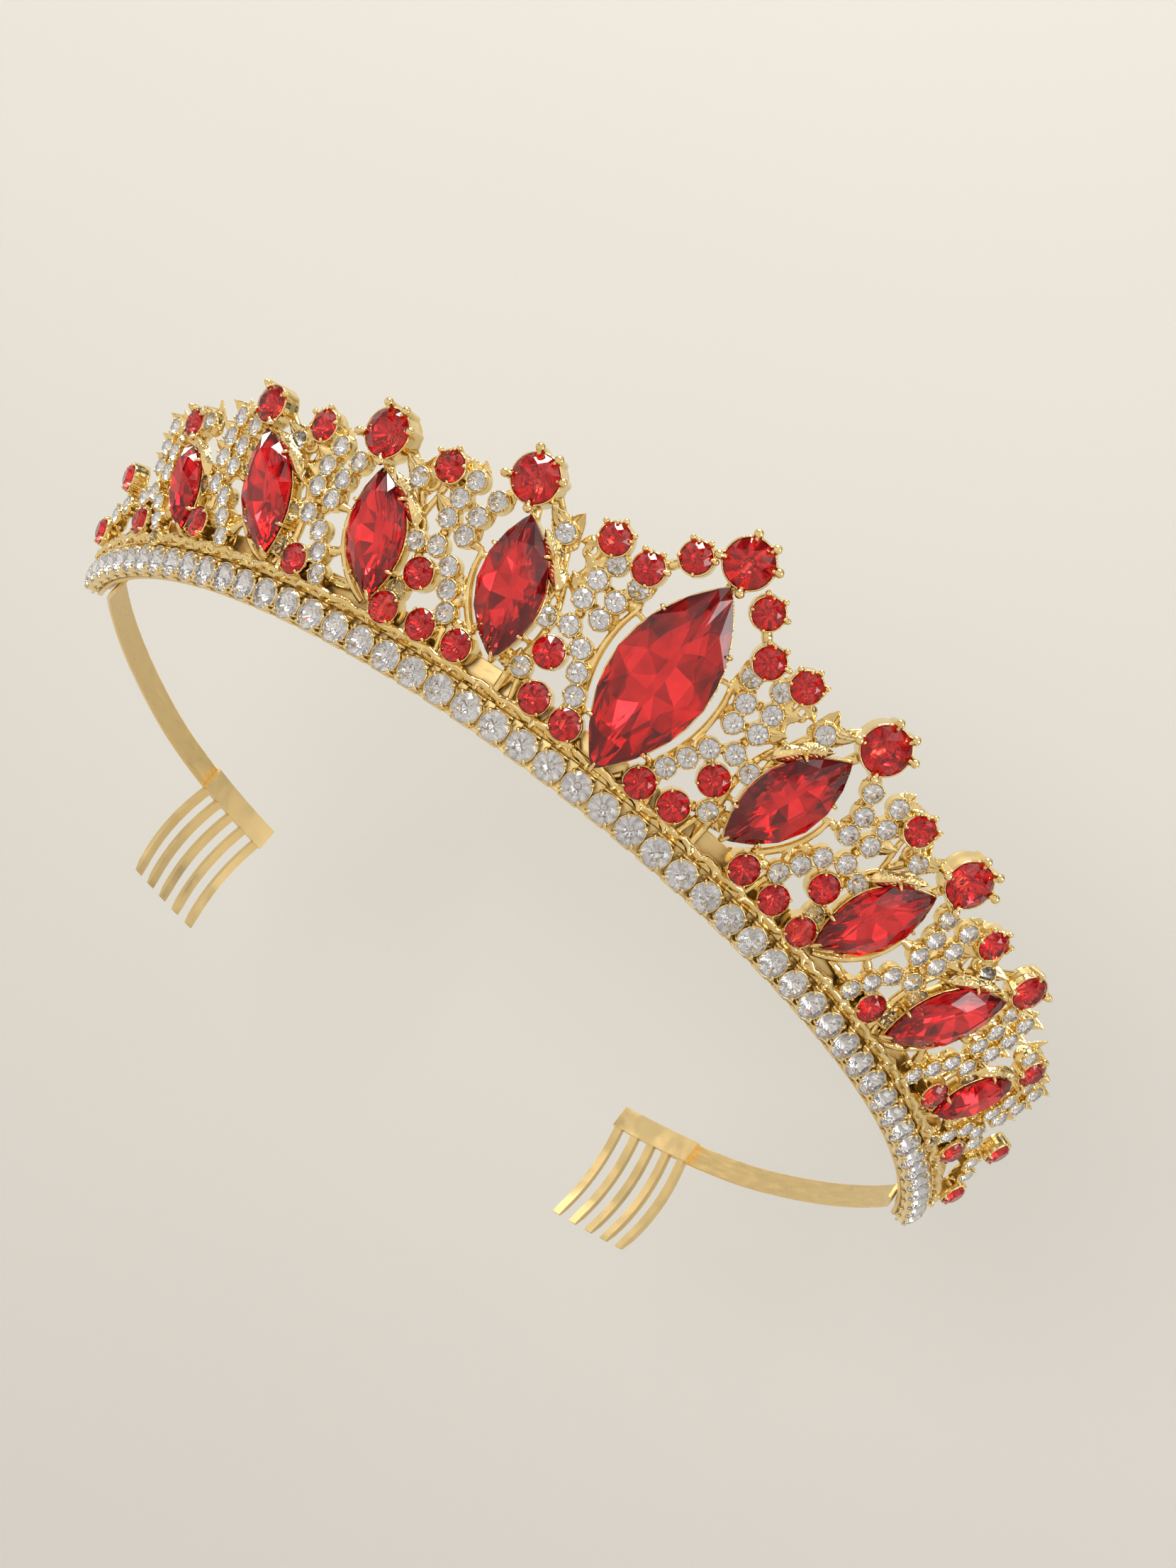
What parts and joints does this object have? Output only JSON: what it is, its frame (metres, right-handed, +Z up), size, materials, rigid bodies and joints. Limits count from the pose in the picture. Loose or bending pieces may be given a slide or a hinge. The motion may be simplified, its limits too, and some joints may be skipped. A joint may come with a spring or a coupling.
{
  "type": "bridal tiara",
  "caption": "Gold-plated openwork tiara with red navette and round stones, clear leaf sprays, a rhinestone chain, strip arms and side combs.",
  "frame": {"origin": "centre of the circle of the band, on the plane through the chain stones, where the head sits", "axes": "+Z up the wearer's head, the front towards -Y, +X to the wearer's left, so that the arms and combs lie towards +Y"},
  "size_m": [0.1816, 0.1709, 0.063],
  "materials": {
    "cast_gold": "bright pale gold plating, soft melted edges",
    "strip_gold": "satin gold plating",
    "comb_gold": "satin gold plating, stamped",
    "red_glass": "faceted foil-backed red glass",
    "clear_glass": "faceted foil-backed clear rhinestone"
  },
  "bodies": {
    "root": {"centre_navette": "red_glass", "centre_setting": "cast_gold", "navette_left_1": "red_glass", "setting_left_1": "cast_gold", "navette_left_2": "red_glass", "setting_left_2": "cast_gold", "navette_left_3": "red_glass", "setting_left_3": "cast_gold", "navette_left_4": "red_glass", "setting_left_4": "cast_gold", "spray_left_0": "cast_gold", "crystals_left_0": "clear_glass", "spray_left_1": "cast_gold", "crystals_left_1": "clear_glass", "spray_left_2": "cast_gold", "crystals_left_2": "clear_glass", "spray_left_3": "cast_gold", "crystals_left_3": "clear_glass", "spray_left_4": "cast_gold", "crystals_left_4": "clear_glass", "spray_left_5": "cast_gold", "crystals_left_5": "clear_glass", "low_stones_left": "red_glass", "arm_left": "strip_gold", "comb_left": "comb_gold", "navette_right_1": "red_glass", "setting_right_1": "cast_gold", "navette_right_2": "red_glass", "setting_right_2": "cast_gold", "navette_right_3": "red_glass", "setting_right_3": "cast_gold", "navette_right_4": "red_glass", "setting_right_4": "cast_gold", "spray_right_0": "cast_gold", "crystals_right_0": "clear_glass", "spray_right_1": "cast_gold", "crystals_right_1": "clear_glass", "spray_right_2": "cast_gold", "crystals_right_2": "clear_glass", "spray_right_3": "cast_gold", "crystals_right_3": "clear_glass", "spray_right_4": "cast_gold", "crystals_right_4": "clear_glass", "spray_right_5": "cast_gold", "crystals_right_5": "clear_glass", "low_stones_right": "red_glass", "arm_right": "strip_gold", "comb_right": "comb_gold", "crest_stones": "red_glass", "arch_stones": "red_glass", "valley_stones": "red_glass", "chain_cups": "cast_gold", "chain_stones": "clear_glass", "rail": "cast_gold", "base_strip": "strip_gold", "headband": "strip_gold"}
  },
  "joints": []
}
